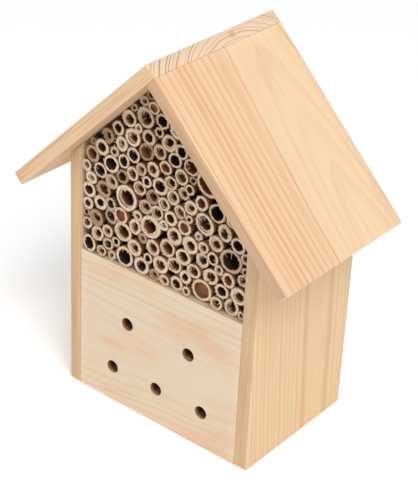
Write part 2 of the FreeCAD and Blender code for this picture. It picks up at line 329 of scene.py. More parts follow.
@dataclass(frozen=True)
class PineFinish:
    """Bare planed pine, with growth rings round a pith that runs beside or through the board."""

    name: str
    along: Way
    across: Way
    out: Way
    middle_mm: tuple[float, float, float]
    pith_across_mm: float
    pith_out_mm: float
    drift_across: float = 0.0
    drift_out: float = 0.0
    ring_mm: float = 4.0
    heart_mm: float = 0.0
    heart_fade: float = 0.85
    heart_band: float = 0.5
    line_from: float = 0.30
    line_to: float = 0.95
    early: Colour = srgb(250, 217, 174)
    late: Colour = srgb(224, 164, 116)
    blush: Colour = srgb(245, 197, 155)
    end: Colour = srgb(240, 212, 182)
    end_late: Colour = srgb(182, 140, 108)
    bored: Colour = srgb(176, 120, 76)
    # Painted shade: the colour that the drilled hole walls darken to deeper in the board.
    bored_deep_shade: Colour = srgb(84, 42, 20)
    half_thick_mm: float = 5.0
    contrast: float = 0.8
    flat_softening: float = 0.8
    blush_share: float = 0.4
    side_blush: float = 0.0
    spot_mm: float = 0.0
    # edge_shade darkens the narrow sawn faces: partly their rougher sawn surface, partly painted shade set
    # board by board.
    edge_shade: float = 0.10
    edge_fade: float = 0.8
    wander_mm: float = 3.0
    side_wander: float = 2.6
    ring_unevenness: float = 1.4
    faintest_ring: float = 0.35
    relief: float = 0.35
    relief_mm: float = 0.16
    seed: float = 0.0

    def material(self) -> bpy.types.Material:
        """Build the material.

        Returns:
            The material.
        """
        net = Net(self.name)
        place = net.place()
        along, across, out = (self._component(place, way) - mid
                              for way, mid in zip((self.along, self.across, self.out), self.middle_mm))

        def figured(figure: Figure, start: float) -> Field:
            """One figure over this board, from its own start."""
            here = net.vector(along * figure.along + start, across * figure.across, out * figure.out)
            return net.noise(here, figure.detail, figure.rough)

        seed = self.seed
        slow = figured(SLOW_WANDER, seed)
        quick = figured(QUICK_WANDER, seed)
        side = across - self.pith_across_mm - along * self.drift_across
        side = side + (slow - 0.5) * (self.side_wander * self.wander_mm)
        deep = out - self.pith_out_mm - along * self.drift_out + (quick - 0.5) * self.wander_mm
        square = side * side + deep * deep
        radius = square ** 0.5
        phase = radius / self.ring_mm + seed
        phase = phase + net.line_noise(phase * 0.5) * self.ring_unevenness
        turn = phase.fraction()
        late = turn.rise(self.line_from, self.line_to - 0.02) ** 1.5 * (1.0 - turn.rise(self.line_to, 1.0))
        ring_strength = net.dice(phase.floor() + seed) * (1.0 - self.faintest_ring) + self.faintest_ring
        clear = (1.0 - deep * deep / square * self.flat_softening) ** 1.5
        end_grain = net.facing(self.along.value).rise(0.6, 0.9)
        late = late + (late ** 3.0 - late) * end_grain
        sawn = net.facing(self.across.value).rise(0.7, 0.95)
        faded = 1.0 - sawn * self.edge_fade
        mark = late * ring_strength * (clear + end_grain * 0.6) * self.contrast * faded
        blushing = clear * self.side_blush
        if self.heart_mm:
            heart = self.heart_mm
            inside = 1.0 - radius.rise(heart - 1.0, heart + 3.0)
            band = radius.rise(heart - 4.5, heart - 1.5) * (1.0 - radius.rise(heart - 0.8, heart + 0.6))
            mark = mark * (1.0 - inside * (1.0 - end_grain) * self.heart_fade)
            mark = mark + band * (1.0 - end_grain) * self.heart_band
            blushing = blushing * (1.0 - inside)
        fibre = figured(FIBRE, 0.0)
        hair = figured(HAIR, 7.0).rise(0.56, 0.70)
        cloud = figured(CLOUD, seed).rise(0.46, 0.68)
        colour = net.blend(cloud * self.blush_share + blushing, self.early, self.blush)
        colour = net.blend(end_grain * 0.85, colour, self.end)
        colour = net.blend(mark, colour, net.blend(end_grain, self.late, self.end_late))
        if self.spot_mm:
            off_spot = ((across - self.pith_across_mm) ** 2.0 + (out - 0.5) ** 2.0) ** 0.5
            spot = (1.0 - off_spot.rise(self.spot_mm * 0.3, self.spot_mm)) * end_grain
            colour = net.blend(spot * 0.75, colour, self.late)
        arris = net.painted("arris")
        drilled = net.painted("drilled")
        # Painted shade: the drilled hole walls darken with depth into the board.
        hole_depth_shade = (1.0 - out.size() * (1.0 / self.half_thick_mm)).rise(0.0, 0.8)
        colour = net.blend(drilled, colour, net.blend(hole_depth_shade, self.bored, self.bored_deep_shade))
        scored = figured(SAW_SCORE, 3.0).rise(0.5, 0.66)
        colour = net.blend(sawn * (scored * 0.55 + 0.12), colour, self.late)
        # The sawn faces are darkened by edge_shade: partly rougher sawn wood, partly painted shade.
        shade = 0.82 + (fibre - 0.5) * 0.18 - hair * 0.08 + arris * 0.04 - sawn * self.edge_shade
        colour = net.scaled(colour, shade)
        roughness = 0.60 - mark * 0.12 + (fibre - 0.5) * 0.16 + end_grain * 0.18
        roughness = roughness + drilled * 0.2 - arris * 0.06
        height = fibre * 0.55 - mark * 0.5 + hair * -0.3 + drilled * fibre * 1.5
        return net.finish(colour, roughness, height, self.relief, self.relief_mm)

    @staticmethod
    def _component(place: tuple[Field, Field, Field], way: Way) -> Field:
        """How far a place lies along way.

        Args:
            place: a point as x, y and z.
            way: the direction.

        Returns:
            The distance along way.
        """
        total = None
        for value, share in zip(place, way.value):
            if share:
                total = value * share if total is None else total + value * share
        return total


@dataclass(frozen=True)
class DowelFinish:
    """Turned beech: short dark flecks along the grain."""

    name: str = "turned_beech"

    def material(self) -> bpy.types.Material:
        """Build the material.

        Returns:
            The material.
        """
        net = Net(self.name)
        x, y, z = net.place()
        fleck = net.noise(net.vector(x * 0.35, y * 2.4, z * 2.4), 2.0).rise(0.55, 0.70)
        tone = net.noise(net.vector(x * 0.1, y * 0.6, z * 0.6), 2.0)
        colour = net.blend(fleck * 0.5, srgb(214, 172, 128), srgb(158, 108, 70))
        return net.finish(net.scaled(colour, 0.9 + tone * 0.2), 0.55 + fleck * 0.1, tone, 0.2, 0.1)


# ---------------------------------------------------------------- reed finishes


@dataclass(frozen=True)
class ReedCutFinish:
    """The sawn end of a reed: cream, with dark fibre ends and a thin brown skin at the rim."""

    name: str = "reed_cut"
    pale: Colour = srgb(224, 204, 180)
    dull: Colour = srgb(200, 170, 136)
    speck: Colour = srgb(138, 98, 64)
    # aged_and_shaded_end: the dark cut end of old reeds, and painted shade on the ends of reeds under the
    # left roof board and wall.
    aged_and_shaded_end: Colour = srgb(126, 100, 74)

    def material(self) -> bpy.types.Material:
        """Build the material.

        Returns:
            The material.
        """
        net = Net(self.name)
        x, y, z = net.place()
        grain = net.noise(net.vector(x * 1.3, y * 0.8, z * 1.3), 3.0, 0.7)
        stain = net.noise(net.vector(x * 0.5, y * 0.3, z * 0.5), 2.0)
        tone = net.painted("tone")
        rim = net.painted("rim")
        colour = net.blend(stain.rise(0.42, 0.72) * 0.55 + tone * 0.3, self.pale, self.dull)
        colour = net.blend(grain.rise(0.52, 0.66) * 0.5, colour, self.speck)
        colour = net.blend(rim * 0.75, colour, self.speck)
        # Old reeds, and painted shade on reeds under the left roof board and wall, darken the cut ends.
        colour = net.blend(net.painted("aged") * 0.8, colour, self.aged_and_shaded_end)
        return net.finish(net.scaled(colour, 1.22 - grain * 0.34), 0.78 + grain * 0.15, grain, 0.6, 0.25)


@dataclass(frozen=True)
class ReedSkinFinish:
    """The outside of a reed: straw to red-brown, streaked lengthwise, with some green left, and painted shade
    behind the front and under the left roof board.
    """

    name: str = "reed_skin"
    straw: Colour = srgb(184, 132, 84)
    brown: Colour = srgb(122, 66, 36)
    green: Colour = srgb(150, 142, 78)

    def material(self) -> bpy.types.Material:
        """Build the material.

        Returns:
            The material.
        """
        net = Net(self.name)
        x, y, z = net.place()
        streak = net.noise(net.vector(x * 1.9, y * 0.08, z * 1.9), 3.0, 0.6)
        patch = net.noise(net.vector(x * 0.3, y * 0.07, z * 0.3), 2.0)
        tone = net.painted("tone")
        colour = net.blend(tone * 0.8 + patch.rise(0.4, 0.7) * 0.3, self.straw, self.brown)
        colour = net.blend(net.painted("green"), colour, self.green)
        # Painted shade: the skin darkens with depth behind the front, and on reeds that the left roof board
        # and wall shade.
        recess_shade = net.painted("deep").rise(0.0, 5.5)
        shelter_shade = 1.0 - net.painted("shelter_shade") * 0.5
        colour = net.scaled(colour, (0.60 + streak * 0.5) * (1.0 - recess_shade * 0.84) * shelter_shade)
        return net.finish(colour, 0.42 + streak * 0.3, streak, 0.4, 0.2)


@dataclass(frozen=True)
class ReedBoreFinish:
    """The inside of a reed: brown near the mouth and almost black further in, a painted shade that deepens
    with depth.
    """

    name: str = "reed_bore"
    near: Colour = srgb(164, 100, 56)
    # far: painted shade, the wall colour deeper in the bore.
    far: Colour = srgb(80, 38, 18)
    black: Colour = srgb(24, 13, 8)
    plug: Colour = srgb(160, 104, 58)

    def material(self) -> bpy.types.Material:
        """Build the material.

        Returns:
            The material.
        """
        net = Net(self.name)
        x, y, z = net.place()
        streak = net.noise(net.vector(x * 2.0, y * 0.15, z * 2.0), 3.0, 0.6)
        deep = net.painted("deep")
        # Painted shade: the walls darken from near to far with depth into the bore.
        colour = net.blend(deep.rise(0.3, 8.0), self.near, self.far)
        # Blends the bore towards black by each reed's sooty value.
        colour = net.blend(net.painted("sooty"), colour, self.black)
        colour = net.blend(net.painted("plug"), colour, self.plug)
        return net.finish(net.scaled(colour, 0.65 + streak * 0.7), 0.6 + streak * 0.3, streak, 0.5, 0.3)


@dataclass(frozen=True)
class PithFinish:
    """Torn pith: pale, dull and fibrous."""

    name: str = "torn_pith"
    pale: Colour = srgb(232, 215, 190)
    dull: Colour = srgb(188, 152, 112)

    def material(self) -> bpy.types.Material:
        """Build the material.

        Returns:
            The material.
        """
        net = Net(self.name)
        x, y, z = net.place()
        strand = net.noise(net.vector(x * 3.0, y * 1.2, z * 3.0), 2.0, 0.7)
        # worn: the reed's tone and age, and painted shade on reeds under the left roof board and wall.
        worn = net.painted("tone") * 0.6 + net.painted("aged") * 0.7
        colour = net.blend(strand.rise(0.4, 0.7) * 0.4 + worn, self.pale, self.dull)
        return net.finish(colour, 0.88 + strand * 0.1, strand, 0.5, 0.2)


# ---------------------------------------------------------------- metal finishes


@dataclass(frozen=True)
class MetalFinish:
    """Bright or zinc-plated steel with fine scratches and dull patches."""

    name: str
    bright: Colour
    dull: Colour
    roughness: float

    def material(self) -> bpy.types.Material:
        """Build the material.

        Returns:
            The material.
        """
        net = Net(self.name)
        net.shader.inputs["Metallic"].default_value = 1.0
        x, y, z = net.place()
        scratch = net.noise(net.vector(x * 0.4, y * 3.0, z * 5.0), 3.0, 0.7)
        patch = net.noise(net.vector(x * 0.35, y * 0.35, z * 0.35), 3.0, 0.6).rise(0.35, 0.7)
        colour = net.blend(patch, self.bright, self.dull)
        return net.finish(colour, self.roughness + patch * 0.18 + (scratch - 0.5) * 0.2, scratch, 0.25, 0.04)


@dataclass(frozen=True)
class FloorFinish:
    """Pale matt paper."""

    name: str = "pale_floor"
    glow: float = 0.10

    def material(self) -> bpy.types.Material:
        """Build the material.

        Returns:
            The material.
        """
        net = Net(self.name)
        x, y, z = net.place()
        grain = net.noise(net.vector(x * 0.02, y * 0.02, z * 0.02), 2.0)
        net.shader.inputs["Emission Color"].default_value = (*WHITE, 1.0)
        net.shader.inputs["Emission Strength"].default_value = self.glow
        colour = net.blend(grain, srgb(254, 254, 254), srgb(252, 252, 252))
        return net.finish(colour, 0.85 + grain * 0.1)


# ---------------------------------------------------------------- mesh drafts


def put(name: str, data: bpy.types.ID) -> bpy.types.Object:
    """Add an object to the scene.

    Args:
        name: the object's name.
        data: its mesh, lamp or lens.

    Returns:
        The new object.
    """
    made = bpy.data.objects.new(name, data)
    bpy.context.scene.collection.objects.link(made)
    return made


def settle(piece: bpy.types.Object) -> None:
    """Turn what a piece's modifiers make into its own mesh.

    Args:
        piece: the object, which keeps no modifiers.
    """
    graph = bpy.context.evaluated_depsgraph_get()
    result = bpy.data.meshes.new_from_object(piece.evaluated_get(graph))
    piece.modifiers.clear()
    piece.data = result


def cut_away(piece: bpy.types.Object, work: bmesh.types.BMesh, self_overlaps: bool = False) -> None:
    """Cut closed shapes out of a piece.

    Args:
        piece: the object to cut.
        work: the shapes, which are used up.
        self_overlaps: True where the piece or the shapes run through themselves.
    """
    mesh = bpy.data.meshes.new("cutter")
    work.to_mesh(mesh)
    work.free()
    cutter = put("cutter", mesh)
    cut = piece.modifiers.new("cut", "BOOLEAN")
    cut.operation = "DIFFERENCE"
    cut.solver = "EXACT"
    cut.use_self = self_overlaps
    cut.object = cutter
    settle(piece)
    bpy.data.objects.remove(cutter)


@dataclass
class Draft:
    """A mesh in the making: corners, faces with a finish each, and values painted on the corners."""

    corners: list[tuple[float, float, float]] = field(default_factory=list)
    faces: list[tuple[int, ...]] = field(default_factory=list)
    finishes: list[int] = field(default_factory=list)
    paint: dict[str, dict[int, float]] = field(default_factory=dict)

    def corner(self, place: Sequence[float], **values: float) -> int:
        """Add a corner with its painted values.

        Args:
            place: x, y and z.
            values: what is painted on it, by name.

        Returns:
            The corner's number.
        """
        number = len(self.corners)
        self.corners.append((place[0], place[1], place[2]))
        for name, value in values.items():
            self.paint.setdefault(name, {})[number] = value
        return number

    def face(self, corners: Sequence[int], finish: int) -> None:
        """Add a face."""
        self.faces.append(tuple(corners))
        self.finishes.append(finish)

    def band(self, first: Sequence[int], second: Sequence[int], finish: int) -> None:
        """Join two closed rings of the same length.

        Args:
            first: the first ring's corners.
            second: the second ring's corners.
            finish: the finish number of the faces.
        """
        count = len(first)
        for place in range(count):
            after = (place + 1) % count
            self.face((first[place], first[after], second[after], second[place]), finish)

    def cap(self, ring: Sequence[int], middle: int, finish: int) -> None:
        """Close a ring with a fan round middle.

        Args:
            ring: the ring's corners.
            middle: the corner in the middle.
            finish: the finish number of the faces.
        """
        count = len(ring)
        for place in range(count):
            self.face((ring[place], ring[(place + 1) % count], middle), finish)

    def build(self, name: str, materials: Sequence[bpy.types.Material], sharp_deg: float = 38.0,
              closed: bool = True) -> bpy.types.Object:
        """Make the object, shaded smooth with its sharp edges kept.

        Args:
            name: the object's name.
            materials: one for each finish number.
            sharp_deg: the least angle between two faces that stays a sharp edge.
            closed: True where every shell is closed, so that its faces are turned outwards.

        Returns:
            The new object.
        """
        mesh = bpy.data.meshes.new(name)
        mesh.from_pydata(self.corners, [], self.faces)
        if closed:
            work = bmesh.new()
            work.from_mesh(mesh)
            bmesh.ops.recalc_face_normals(work, faces=work.faces)
            work.to_mesh(mesh)
            work.free()
        for material in materials:
            mesh.materials.append(material)
        mesh.polygons.foreach_set("material_index", self.finishes)
        for label, values in self.paint.items():
            layer = mesh.attributes.new(label, "FLOAT", "POINT")
            for number, value in values.items():
                layer.data[number].value = value
        mesh.shade_smooth()
        mesh.set_sharp_from_angle(angle=math.radians(sharp_deg))
        mesh.update()
        return put(name, mesh)


def show(piece: bpy.types.Object, slot: str, *nodes: str) -> None:
    """Make a piece ride on the house, in place of its CAD nodes.

    Args:
        piece: the finished object.
        slot: its material slot; not used.
        nodes: the CAD nodes that it stands for.
    """
    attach(piece, "root")
    if nodes:
        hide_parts(*nodes)
    LOG.info("%s stands for %s", piece.name, ", ".join(nodes) or "itself")


def extent(node: str, way: Way) -> tuple[float, float]:
    """The lowest and highest reach of a CAD node along way.

    Args:
        node: the name of a CAD node.
        way: the direction.

    Returns:
        The two distances from the origin.
    """
    axis = Vector(way.value)
    reach = [corner.co.dot(axis) for corner in frame["nodes"][node].data.vertices]
    return min(reach), max(reach)


@dataclass(frozen=True)
class Rod:
    """One round solid of a CAD node: where it lies and how wide it is."""

    low: Vector
    high: Vector
    corners: tuple[Vector, ...]

    @property
    def middle(self) -> Vector:
        """The middle of its box."""
        return (self.low + self.high) / 2.0


def rods(node: str) -> list[Rod]:
    """The separate solids of a CAD node, by height and then from the left.

    Args:
        node: the name of a CAD node.

    Returns:
        One Rod for each solid.
    """
    work = bmesh.new()
    work.from_mesh(frame["nodes"][node].data)
    bmesh.ops.remove_doubles(work, verts=work.verts, dist=1e-6)
    work.verts.ensure_lookup_table()
    seen: set[int] = set()
    found = []
    for start in work.verts:
        if start.index in seen:
            continue
        group, queue = [], [start]
        seen.add(start.index)
        while queue:
            corner = queue.pop()
            group.append(corner.co.copy())
            for edge in corner.link_edges:
                other = edge.other_vert(corner)
                if other.index not in seen:
                    seen.add(other.index)
                    queue.append(other)
        low = Vector(min(co[axis] for co in group) for axis in range(3))
        high = Vector(max(co[axis] for co in group) for axis in range(3))
        found.append(Rod(low, high, tuple(group)))
    work.free()
    return sorted(found, key=lambda rod: (round(rod.middle.z, 5), rod.middle.x))


# ---------------------------------------------------------------- boards


@dataclass(frozen=True)
class Hole:
    """A drilled hole, or a slot where it also runs upwards."""

    start: Vector
    end: Vector
    radius: float
    rise: float = 0.0

    def ring(self, end: Vector, sides: int = 48) -> list[Vector]:
        """The hole's outline at one end.

        Args:
            end: the middle of that end.
            sides: the number of points.

        Returns:
            The points, in order.
        """
        axis = (self.end - self.start).normalized()
        side = axis.cross(Vector(Way.UP.value)).normalized()
        up = side.cross(axis)
        points = []
        for place in range(sides):
            turn = math.tau * (place + 0.5) / sides
            lift = self.rise if math.sin(turn) > 0.0 else 0.0
            points.append(end + side * (math.cos(turn) * self.radius)
                          + up * (math.sin(turn) * self.radius + lift))
        return points

    def wall_at(self, place: Vector) -> bool:
        """True for a place on the hole's wall.

        Args:
            place: a point of the board.

        Returns:
            True where it lies on this hole's wall.
        """
        axis = (self.end - self.start).normalized()
        offset = place - self.start
        offset -= axis * offset.dot(axis)
        up = axis.cross(Vector(Way.UP.value)).normalized().cross(axis)
        offset -= up * min(self.rise, max(0.0, offset.dot(up)))
        return abs(offset.length - self.radius) < 0.03 * MM


@dataclass
class Board:
    """One planed board: an outline in the XZ plane, carried from front to rear."""

    node: str
    slot: str
    finish: PineFinish
    outline: Outline
    front: float
    rear: float
    arris: float = 0.6 * MM
    fine_arris: float = 0.25 * MM
    fine_within: float = 0.0
    fine_below: float = math.inf
    cell: float = 7.0 * MM
    wear: float = 0.10 * MM
    holes: list[Hole] = field(default_factory=list)
    rim: float = 0.28 * MM
    arris_steps: int = 3
    rounded_from_deg: float = 30.0
    sharp_deg: float = 32.0
    wave_per_metre: float = 38.0
    dent_per_metre: float = 160.0
    wave_share: float = 0.4

    def build(self) -> bpy.types.Object:
        """Make the board, sanded and drilled.

        Returns:
            The finished board.
        """
        work = self._prism()
        self._grid(work)
        piece = self._object(work)
        if self.holes:
            self._drill(piece)
        self._sand(piece)
        piece.data.materials.append(self.finish.material())
        show(piece, self.slot, self.node)
        return piece

    def _prism(self) -> bmesh.types.BMesh:
        """The plain board.

        Returns:
            Its mesh, ready for edits.
        """
        work = bmesh.new()
        near = [work.verts.new((x, self.front, z)) for x, z in self.outline]
        far = [work.verts.new((x, self.rear, z)) for x, z in self.outline]
        count = len(near)
        work.faces.new(near)
        work.faces.new(far[::-1])
        for place in range(count):
            after = (place + 1) % count
            work.faces.new((near[after], near[place], far[place], far[after]))
        bmesh.ops.recalc_face_normals(work, faces=work.faces)
        return work

    def _grid(self, work: bmesh.types.BMesh) -> None:
        """Divide the faces so that the surface can wave a little.

        Args:
            work: the board's mesh.
        """
        for way in (self.finish.along, self.finish.across):
            axis = Vector(way.value)
            reach = [corner.co.dot(axis) for corner in work.verts]
            low, high = min(reach), max(reach)
            count = max(2, round((high - low) / self.cell))
            for step in range(1, count):
                geometry = work.verts[:] + work.edges[:] + work.faces[:]
                point = axis * (low + (high - low) * step / count)
                bmesh.ops.bisect_plane(work, geom=geometry, plane_co=point, plane_no=axis)

    def _object(self, work: bmesh.types.BMesh) -> bpy.types.Object:
        """The board as an object.

        Args:
            work: the board's mesh, which is used up.

        Returns:
            The object.
        """
        name = self.node + "_board"
        mesh = bpy.data.meshes.new(name)
        work.to_mesh(mesh)
        work.free()
        return put(name, mesh)

    def _drill(self, piece: bpy.types.Object) -> None:
        """Cut the round holes.

        Args:
            piece: the board.
        """
        work = bmesh.new()
        for hole in self.holes:
            near = [work.verts.new(point) for point in hole.ring(hole.start)]
            far = [work.verts.new(point) for point in hole.ring(hole.end)]
            work.faces.new(near)
            work.faces.new(far[::-1])
            for place, corner in enumerate(near):
                work.faces.new((corner, near[place - 1], far[place - 1], far[place]))
        bmesh.ops.recalc_face_normals(work, faces=work.faces)
        cut_away(piece, work)

    def _on_hole(self, place: Vector) -> bool:
        """True on the wall of a hole."""
        return any(hole.wall_at(place) for hole in self.holes)

    def _sides(self) -> list[tuple[Vector, Vector]]:
        """Each flat side as a point and its outward normal.

        Returns:
            A (point, normal) pair for each side.
        """
        middle = Vector((sum(x for x, _ in self.outline), 0.0, sum(z for _, z in self.outline)))
        middle /= len(self.outline)
        found = [(Vector((0.0, self.front, 0.0)), Vector((0.0, -1.0, 0.0))),
                 (Vector((0.0, self.rear, 0.0)), Vector((0.0, 1.0, 0.0)))]
        for (x, z), (next_x, next_z) in zip(self.outline, self.outline[1:] + self.outline[:1]):
            point = Vector((x, 0.0, z))
            normal = Vector((next_z - z, 0.0, x - next_x)).normalized()
            if normal.dot(point - middle) < 0.0:
                normal = -normal
            found.append((point, normal))
        return found

    def _bevel(self, piece: bpy.types.Object) -> None:
        """Round the arrises, less where boards meet, and the hole rims.

        Args:
            piece: the board.
        """
        work = bmesh.new()
        work.from_mesh(piece.data)
        bmesh.ops.dissolve_degenerate(work, dist=1e-6, edges=work.edges)
        weight = work.edges.layers.float.new("bevel_weight_edge")
        rounded_from = math.radians(self.rounded_from_deg)
        for edge in work.edges:
            if len(edge.link_faces) != 2 or edge.calc_face_angle(0.0) < rounded_from:
                continue
            middle = (edge.verts[0].co + edge.verts[1].co) / 2.0
            if all(self._on_hole(corner.co) for corner in edge.verts):
                size = self.rim
            elif abs(middle.x) < self.fine_within and middle.z < self.fine_below:
                size = self.fine_arris
            else:
                size = self.arris
            edge[weight] = size / self.arris
        work.to_mesh(piece.data)
        work.free()
        rounded = piece.modifiers.new("arrises", "BEVEL")
        rounded.limit_method = "WEIGHT"
        rounded.width = self.arris
        rounded.segments = self.arris_steps
        rounded.profile = 0.5
        settle(piece)

    def _sand(self, piece: bpy.types.Object) -> None:
        """Round the arrises and the hole rims, and let the surface wave inwards.

        Args:
            piece: the board.
        """
        self._bevel(piece)
        work = bmesh.new()
        work.from_mesh(piece.data)
        drilled = work.faces.layers.float.new("drilled")
        worn = work.verts.layers.float.new("arris")
        sides = self._sides()
        for corner in work.verts:
            near = sum(abs((corner.co - point).dot(normal)) < self.arris * 0.9 for point, normal in sides)
            corner[worn] = 1.0 if near > 1 else 0.0
        for face in work.faces:
            on_hole = sum(self._on_hole(corner.co) for corner in face.verts)
            face[drilled] = on_hole / len(face.verts) if abs(face.normal.y) < 0.95 else 0.0
        work.normal_update()
        moves = []
        for corner in work.verts:
            wave = noise.noise(corner.co * self.wave_per_metre) * 0.5 + 0.5
            dent = noise.noise(corner.co * self.dent_per_metre) * 0.5 + 0.5
            amount = wave * self.wear * self.wave_share + dent * self.wear * corner[worn]
            moves.append(corner.normal * -amount)
        for corner, move in zip(work.verts, moves):
            corner.co += move
        work.to_mesh(piece.data)
        work.free()
        piece.data.shade_smooth()
        piece.data.set_sharp_from_angle(angle=math.radians(self.sharp_deg))


@dataclass
class Carcass:
    """The boards of the house, each with its own piece of the tree."""

    pine_roof: str = "pine_roof"
    pine_wall: str = "pine_wall"
    entrance_radius: float = 4.5 * MM
    nail_seat_radius: float = 1.56 * MM
    nail_seat_depth: float = 0.85 * MM
    recess_search: float = 3.0 * MM
    roof_arris: float = 0.9 * MM
    ridge_arris: float = 0.12 * MM
    ridge_reach: float = 9.0 * MM
    ridge_top: float = 3.0 * MM

    def _middle(self, node: str, ways: tuple[Way, Way, Way]) -> tuple[float, float, float]:
        """A node's middle along three ways, in millimetres."""
        return tuple(sum(extent(node, way)) / 2.0 / MM for way in ways)

    def _slab(self, node: str, along: Way, out: Way) -> Outline:
        """The outline of a board that is a rectangle across the way it is carried.

        Args:
            node: the board's node.
            along: the direction of its length.
            out: the direction of its thickness.

        Returns:
            The outline.
        """
        low_along, high_along = extent(node, along)
        low_out, high_out = extent(node, out)
        outline = []
        for length, height in ((low_along, low_out), (high_along, low_out),
                               (high_along, high_out), (low_along, high_out)):
            point = Vector(along.value) * length + Vector(out.value) * height
            outline.append((point.x, point.z))
        return outline

    def _wall_outline(self, node: str) -> Outline:
        """A wall's outline, higher at its inner face.

        Args:
            node: the wall's node.

        Returns:
            The outline.
        """
        low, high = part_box(node)
        fall = (high.x - low.x) * math.tan(PITCH)
        left_top, right_top = (high.z - fall, high.z) if low.x < 0.0 else (high.z, high.z - fall)
        return [(low.x, low.z), (high.x, low.z), (high.x, right_top), (low.x, left_top)]

    def _back_outline(self) -> Outline:
        """The back panel's gabled outline.

        Returns:
            The outline.
        """
        low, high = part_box("back_panel")
        shoulder = high.z - high.x * math.tan(PITCH)
        return [(low.x, low.z), (high.x, low.z), (high.x, shoulder), (0.0, high.z), (low.x, shoulder)]

    def _plain_outline(self, node: str) -> Outline:
        """A rectangle seen from the front."""
        low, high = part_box(node)
        return [(low.x, low.z), (high.x, low.z), (high.x, high.z), (low.x, high.z)]

    def _entrances(self) -> list[Hole]:
        """The drilled entrances, read from the openings that the record states.

        Returns:
            One Hole for each entrance.
        """
        low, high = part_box("front_panel")
        found = []
        for opening in frame["record"]["physics"]["openings"]:
            if opening["name"].startswith("entrance"):
                start, end = (Vector(corner) for corner in opening["box_m"])
                middle = (start + end) / 2.0
                near = Vector((middle.x, low.y - MM, middle.z))
                far = Vector((middle.x, high.y + MM, middle.z))
                found.append(Hole(near, far, self.entrance_radius))
        return found

    def _screw_room(self) -> list[Hole]:
        """The slot behind the keyhole, for the head of the screw that the house hangs on.

        Returns:
            The slot, as a list of one Hole.
        """
        panel_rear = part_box("back_panel")[1].y
        openings = frame["record"]["physics"]["openings"]
        recess = next(opening for opening in openings if opening["name"] == "hanger_recess")
        (left, near, foot), (right, _, head) = recess["box_m"]
        spare = self.recess_search
        floor = [corner.co for corner in frame["nodes"]["back_panel"].data.vertices
                 if abs(corner.co.y - near) < 0.3 * MM and left - spare < corner.co.x < right + spare
                 and foot - spare < corner.co.z < head + spare]
        radius = max(co.x for co in floor)
        low, high = min(co.z for co in floor), max(co.z for co in floor)
        start = Vector((0.0, floor[0].y, low + radius))
        return [Hole(start, Vector((0.0, panel_rear + MM, start.z)), radius, high - low - 2.0 * radius)]

    def _nail_seats(self) -> list[Hole]:
        """The seats of the nail heads in the left roof board.

        Returns:
            One Hole for each nail.
        """
        inward = -Vector(Way.OUT_LEFT.value)
        seats = []
        for rod in rods("ridge_nails"):
            top = rod.middle - inward * (rod.middle.dot(inward) - min(co.dot(inward) for co in rod.corners))
            bottom = top + inward * self.nail_seat_depth
            seats.append(Hole(top - inward * MM, bottom, self.nail_seat_radius))
        return seats

    def _finish(self, node: str, along: Way, across: Way, out: Way, **look: object) -> PineFinish:
        """The node's own pine, placed by its middle."""
        return PineFinish(name=node + "_pine", along=along, across=across, out=out,
                          middle_mm=self._middle(node, (along, across, out)), **look)

    def boards(self) -> Iterator[Board]:
        """Every board that shows, in the order that they are put together.

        Returns:
            The boards, one at a time.
        """
        for node, seed in (("left_wall", 3.3), ("right_wall", 0.0)):
            finish = self._finish(node, Way.UP, Way.BACK, Way.RIGHT, pith_across_mm=15.0, pith_out_mm=-8.0,
                                  drift_across=-0.06, drift_out=0.01, ring_mm=3.9, heart_mm=20.0,
                                  line_from=0.5, seed=seed, early=srgb(241, 205, 160),
                                  late=srgb(216, 158, 104), blush=srgb(241, 195, 148), contrast=0.62,
                                  wander_mm=1.2, edge_shade=0.13)
            yield self._board(node, self.pine_wall, finish, self._wall_outline(node), arris=1.5 * MM,
                              fine_arris=0.14 * MM, fine_within=68.0 * MM)
        finish = self._finish("front_panel", Way.RIGHT, Way.UP, Way.BACK, pith_across_mm=-4.0,
                              pith_out_mm=24.0, drift_across=0.05, drift_out=0.06, ring_mm=4.6, seed=1.7,
                              early=srgb(238, 217, 188), late=srgb(216, 168, 124),
                              blush=srgb(239, 195, 158), contrast=0.55, blush_share=0.75, wander_mm=5.0,
                              line_from=0.4, edge_shade=0.04)
        yield self._board("front_panel", "pine_front", finish, self._plain_outline("front_panel"),
                          arris=0.2 * MM, holes=self._entrances())
        finish = self._finish("back_panel", Way.UP, Way.RIGHT, Way.BACK, pith_across_mm=12.0,
                              pith_out_mm=-30.0, drift_across=0.02, ring_mm=4.4, seed=5.1, contrast=0.6)
        yield self._board("back_panel", "pine_back", finish, self._back_outline(), arris=0.3 * MM,
                          holes=self._screw_room())
        finish = self._finish("roof_left", Way.DOWN_LEFT, Way.BACK, Way.OUT_LEFT, pith_across_mm=15.0,
                              pith_out_mm=-58.0, drift_across=0.01, ring_mm=2.9, line_from=0.45, seed=2.2,
                              contrast=1.35, wander_mm=2.2, spot_mm=3.6, edge_shade=0.06,
                              end_late=srgb(160, 112, 88))
        yield self._board("roof_left", self.pine_roof, finish,
                          self._slab("roof_left", Way.DOWN_LEFT, Way.OUT_LEFT), arris=self.roof_arris,
                          fine_arris=self.ridge_arris, fine_within=self.ridge_reach,
                          fine_below=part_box("roof_left")[1].z - self.ridge_top, holes=self._nail_seats())
        finish = self._finish("roof_right", Way.DOWN_RIGHT, Way.BACK, Way.OUT_RIGHT, pith_across_mm=30.0,
                              pith_out_mm=-30.0, drift_across=0.015, drift_out=0.09, ring_mm=4.4, seed=4.0,
                              contrast=1.0, flat_softening=0.45, side_blush=0.6, wander_mm=1.8,
                              heart_mm=46.0, heart_fade=0.62, heart_band=0.0, line_from=0.10, line_to=0.84,
                              edge_shade=0.20, late=srgb(222, 160, 114), blush=srgb(247, 201, 160))
